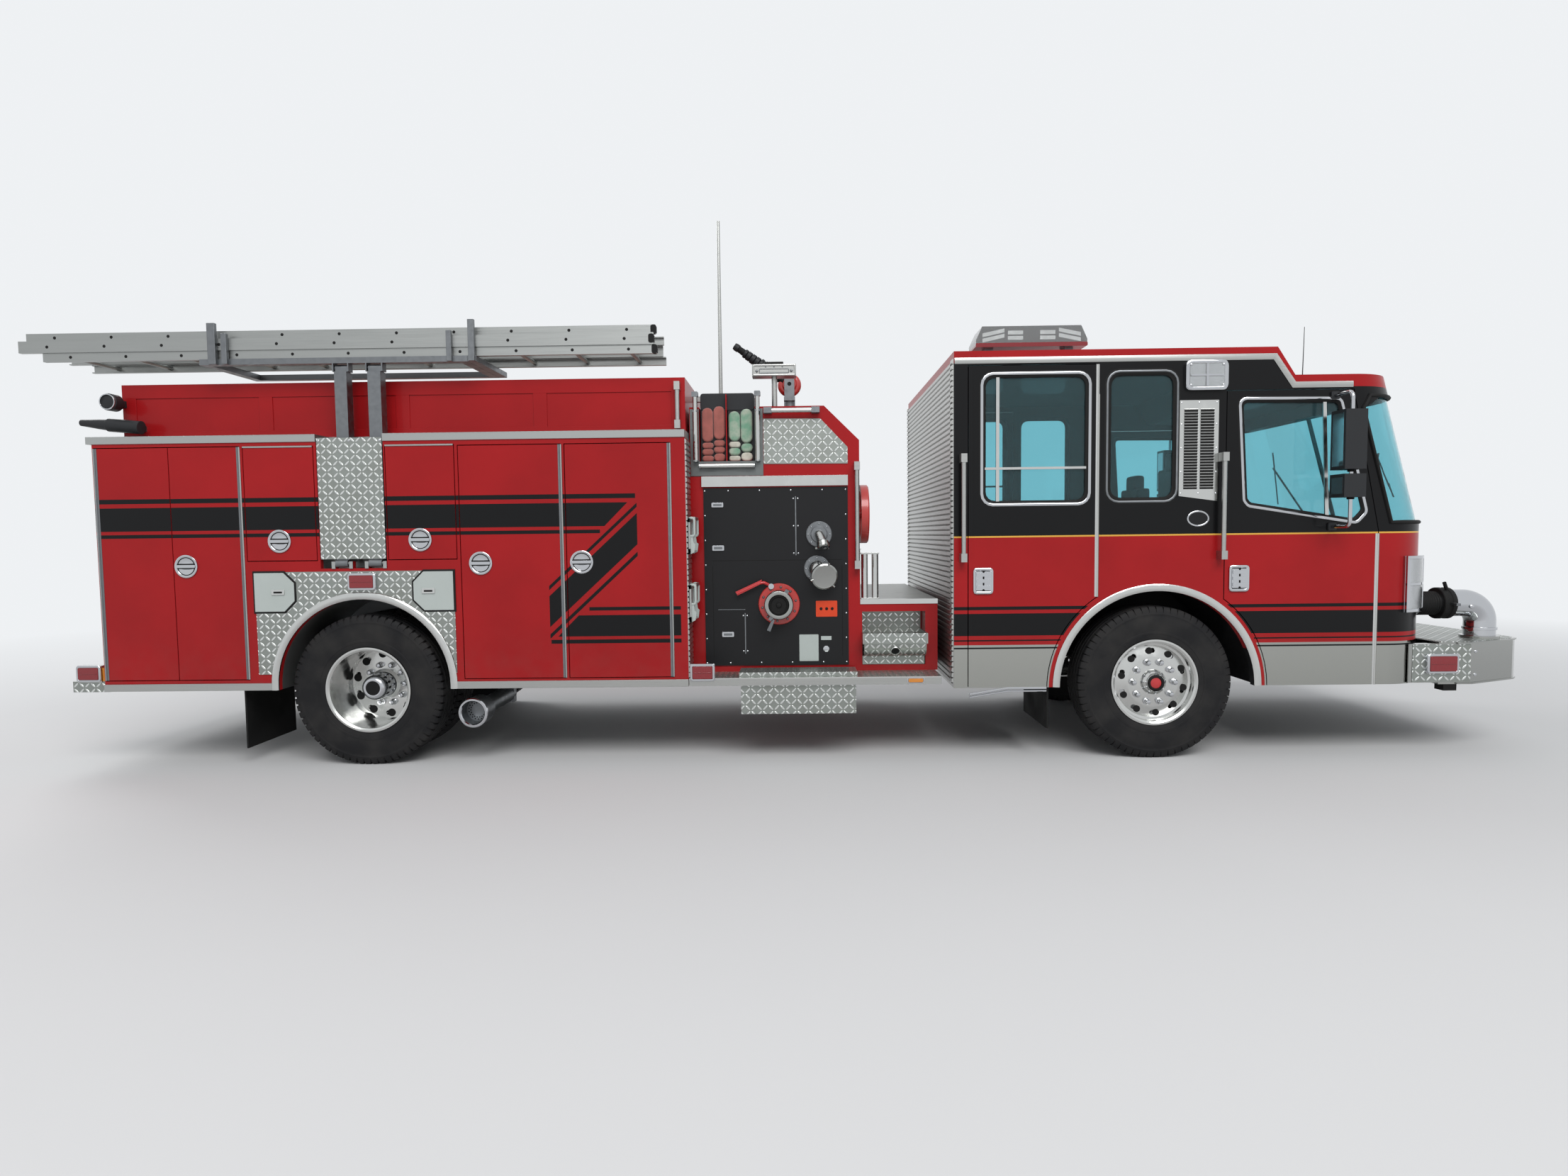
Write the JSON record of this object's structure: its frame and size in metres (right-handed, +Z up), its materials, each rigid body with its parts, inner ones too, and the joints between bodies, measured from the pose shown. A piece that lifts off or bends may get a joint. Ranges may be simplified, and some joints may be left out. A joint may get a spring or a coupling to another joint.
{
  "type": "fire engine, a crew-cab pumper",
  "caption": "Fire engine with a crew cab, midship pump, lockers, hose bed, ladder rack and deck gun, on two axles with twin rear tyres.",
  "frame": {"origin": "on the ground, midway between the ladder tips and the bumper, on the centre plane", "axes": "+X forward, +Y to the truck's left, +Z up"},
  "size_m": [10.47, 3, 4],
  "materials": {
    "red_paint": "gloss clear coat",
    "black_paint": "gloss clear coat",
    "chassis_black": "satin",
    "treadplate": "embossed, bright",
    "brushed_aluminium": "brushed",
    "polished_aluminium": "polished",
    "chrome": "polished",
    "tyre_rubber": "matte",
    "glass": "clear, lightly tinted",
    "seat_vinyl": "grained, matte",
    "tank_plastic": "matte",
    "lamp_lens": "clear lens",
    "hose_jacket": "woven jacket",
    "gun_red": "gloss",
    "mirror_plastic": "moulded, fine grain"
  },
  "bodies": {
    "truck": {"frame_rails": "chassis_black", "front_axle": "chassis_black", "rear_axle": "chassis_black", "engine_block": "chassis_black", "exhaust": "brushed_aluminium", "front_bumper": "treadplate", "front_suction": "chrome", "cab_shell": "red_paint", "cab_roof": "red_paint", "cab_glass": "glass", "cab_interior": "seat_vinyl", "cab_lamps": "lamp_lens", "body_right": "red_paint", "body_left": "red_paint", "hose_bed": "red_paint", "water_tank": "tank_plastic", "step_boards": "treadplate", "pump_house": "red_paint", "pump_panels": "black_paint", "pump_fittings": "chrome", "hose_packs": "hose_jacket", "mast_and_rails": "brushed_aluminium"},
    "steering_right": {"knuckle_right": "chassis_black"},
    "front_wheel_right": {"front_rim_right": "polished_aluminium", "front_tyre_right": "tyre_rubber"},
    "rear_wheels_right": {"rear_rims_right": "polished_aluminium", "rear_tyres_right": "tyre_rubber"},
    "rear_cab_door_right": {"rear_cab_door_right": "red_paint", "rear_cab_window_right": "glass"},
    "front_cab_door_right": {"front_cab_door_right": "red_paint", "front_cab_window_right": "glass", "mirrors_right": "mirror_plastic"},
    "rear_leaf_right": {"rear_leaf_right": "red_paint"},
    "front_leaf_right": {"front_leaf_right": "red_paint"},
    "door_a_right": {"door_a_right": "red_paint"},
    "door_b_right": {"door_b_right": "red_paint"},
    "steering_left": {"knuckle_left": "chassis_black"},
    "front_wheel_left": {"front_rim_left": "polished_aluminium", "front_tyre_left": "tyre_rubber"},
    "rear_wheels_left": {"rear_rims_left": "polished_aluminium", "rear_tyres_left": "tyre_rubber"},
    "rear_cab_door_left": {"rear_cab_door_left": "red_paint", "rear_cab_window_left": "glass"},
    "front_cab_door_left": {"front_cab_door_left": "red_paint", "front_cab_window_left": "glass", "mirrors_left": "mirror_plastic"},
    "rear_leaf_left": {"rear_leaf_left": "red_paint"},
    "front_leaf_left": {"front_leaf_left": "red_paint"},
    "door_a_left": {"door_a_left": "red_paint"},
    "door_b_left": {"door_b_left": "red_paint"},
    "overwheel_door_left": {"overwheel_door_left": "red_paint"},
    "upper_rear_door_right": {"upper_rear_door_right": "red_paint"},
    "upper_front_door_right": {"upper_front_door_right": "red_paint"},
    "ladder_arms": {"ladder_arms": "treadplate"},
    "ladder_cradle": {"ladder_cradle": "brushed_aluminium", "ladders": "brushed_aluminium"},
    "gun_base": {"gun_base": "gun_red"},
    "gun_barrel": {"gun_barrel": "gun_red"},
    "scene_light": {"scene_light": "brushed_aluminium"}
  },
  "joints": [
    {"name": "steer_right", "type": "hinge", "parent": "truck", "child": "steering_right", "pos_m": [2.595, -0.86, 0.528], "axis": [0, 0, 1], "range_deg": [-35, 35]},
    {"name": "front_wheel_spin_right", "type": "hinge", "parent": "steering_right", "child": "front_wheel_right", "pos_m": [2.595, -1.056, 0.528], "axis": [0, 1, 0], "continuous": true},
    {"name": "rear_wheels_spin_right", "type": "hinge", "parent": "truck", "child": "rear_wheels_right", "pos_m": [-2.875, -1.071, 0.528], "axis": [0, 1, 0], "continuous": true},
    {"name": "rear_cab_door_hinge_right", "type": "hinge", "parent": "truck", "child": "rear_cab_door_right", "pos_m": [2.183, -1.22, 1.9], "axis": [0, 0, 1], "range_deg": [0, 80]},
    {"name": "front_cab_door_hinge_right", "type": "hinge", "parent": "truck", "child": "front_cab_door_right", "pos_m": [4.078, -1.22, 1], "axis": [0, 0, 1], "range_deg": [0, 75]},
    {"name": "rear_leaf_hinge_right", "type": "hinge", "parent": "truck", "child": "rear_leaf_right", "pos_m": [-4.688, -1.24, 1.4], "axis": [0, 0, -1], "range_deg": [0, 95]},
    {"name": "front_leaf_hinge_right", "type": "hinge", "parent": "truck", "child": "front_leaf_right", "pos_m": [-3.682, -1.24, 1.4], "axis": [0, 0, 1], "range_deg": [0, 95]},
    {"name": "door_a_hinge_right", "type": "hinge", "parent": "truck", "child": "door_a_right", "pos_m": [-1.472, -1.24, 1.4], "axis": [0, 0, 1], "range_deg": [0, 95]},
    {"name": "door_b_hinge_right", "type": "hinge", "parent": "truck", "child": "door_b_right", "pos_m": [-0.727, -1.24, 1.4], "axis": [0, 0, 1], "range_deg": [0, 95]},
    {"name": "steer_left", "type": "hinge", "parent": "truck", "child": "steering_left", "pos_m": [2.595, 0.86, 0.528], "axis": [0, 0, 1], "range_deg": [-35, 35]},
    {"name": "front_wheel_spin_left", "type": "hinge", "parent": "steering_left", "child": "front_wheel_left", "pos_m": [2.595, 1.056, 0.528], "axis": [0, 1, 0], "continuous": true},
    {"name": "rear_wheels_spin_left", "type": "hinge", "parent": "truck", "child": "rear_wheels_left", "pos_m": [-2.875, 1.071, 0.528], "axis": [0, 1, 0], "continuous": true},
    {"name": "rear_cab_door_hinge_left", "type": "hinge", "parent": "truck", "child": "rear_cab_door_left", "pos_m": [2.183, 1.22, 1.9], "axis": [0, 0, -1], "range_deg": [0, 80]},
    {"name": "front_cab_door_hinge_left", "type": "hinge", "parent": "truck", "child": "front_cab_door_left", "pos_m": [4.078, 1.22, 1], "axis": [0, 0, -1], "range_deg": [0, 75]},
    {"name": "rear_leaf_hinge_left", "type": "hinge", "parent": "truck", "child": "rear_leaf_left", "pos_m": [-4.688, 1.24, 1.4], "axis": [0, 0, 1], "range_deg": [0, 95]},
    {"name": "front_leaf_hinge_left", "type": "hinge", "parent": "truck", "child": "front_leaf_left", "pos_m": [-3.682, 1.24, 1.4], "axis": [0, 0, -1], "range_deg": [0, 95]},
    {"name": "door_a_hinge_left", "type": "hinge", "parent": "truck", "child": "door_a_left", "pos_m": [-1.472, 1.24, 1.4], "axis": [0, 0, -1], "range_deg": [0, 95]},
    {"name": "door_b_hinge_left", "type": "hinge", "parent": "truck", "child": "door_b_left", "pos_m": [-0.727, 1.24, 1.4], "axis": [0, 0, -1], "range_deg": [0, 95]},
    {"name": "overwheel_door_left_hinge", "type": "hinge", "parent": "truck", "child": "overwheel_door_left", "pos_m": [-2.931, 1.24, 2.218], "axis": [1, 0, 0], "range_deg": [0, 100]},
    {"name": "upper_rear_door_right_hinge", "type": "hinge", "parent": "truck", "child": "upper_rear_door_right", "pos_m": [-3.415, -1.24, 2.218], "axis": [-1, 0, 0], "range_deg": [0, 100]},
    {"name": "upper_front_door_right_hinge", "type": "hinge", "parent": "truck", "child": "upper_front_door_right", "pos_m": [-2.441, -1.24, 2.218], "axis": [-1, 0, 0], "range_deg": [0, 100]},
    {"name": "ladder_rack_lower", "type": "hinge", "parent": "truck", "child": "ladder_arms", "pos_m": [-2.875, -1.235, 1.415], "axis": [1, 0, 0], "range_deg": [0, 115]},
    {"name": "ladder_cradle_pivot", "type": "hinge", "parent": "ladder_arms", "child": "ladder_cradle", "pos_m": [-2.875, -1.13, 2.762], "axis": [1, 0, 0], "range_deg": [-25, 0]},
    {"name": "gun_turn", "type": "hinge", "parent": "truck", "child": "gun_base", "pos_m": [0.085, 0, 2.488], "axis": [0, 0, 1], "range_deg": [-170, 170]},
    {"name": "gun_elevate", "type": "hinge", "parent": "gun_base", "child": "gun_barrel", "pos_m": [0.085, 0, 2.79], "axis": [0, 1, 0], "range_deg": [-22, 50]},
    {"name": "scene_light_raise", "type": "slide", "parent": "truck", "child": "scene_light", "axis": [0, 0, 1], "range_m": [0, 0.5]}
  ],
  "couplings": [
    {"joint": "steer_left", "follows": "steer_right", "ratio": 1},
    {"joint": "ladder_cradle_pivot", "follows": "ladder_rack_lower", "ratio": -0.217}
  ]
}
